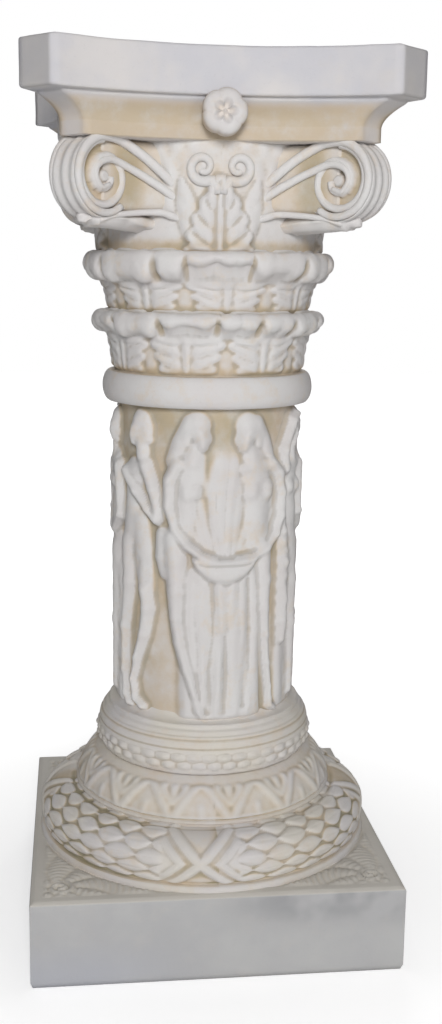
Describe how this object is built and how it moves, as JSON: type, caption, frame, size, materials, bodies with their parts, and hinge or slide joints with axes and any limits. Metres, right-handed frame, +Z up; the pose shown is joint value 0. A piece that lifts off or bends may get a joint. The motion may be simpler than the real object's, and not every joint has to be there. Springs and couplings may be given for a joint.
{
  "type": "column pedestal",
  "caption": "Short column pedestal: square plinth, wreathed base, shaft with maidens in relief, leafy capital with corner scrolls and a flat top to stand things on.",
  "frame": {"origin": "middle of the underside of the plinth", "axes": "+Z up the column, -Y towards the front, where the two bowl bearers stand"},
  "size_m": [0.325, 0.325, 0.775],
  "materials": {
    "cast_stone": "matte off-white cast stone with tan antiquing in the recesses"
  },
  "bodies": {
    "root": {"pedestal": "cast_stone"}
  },
  "joints": []
}
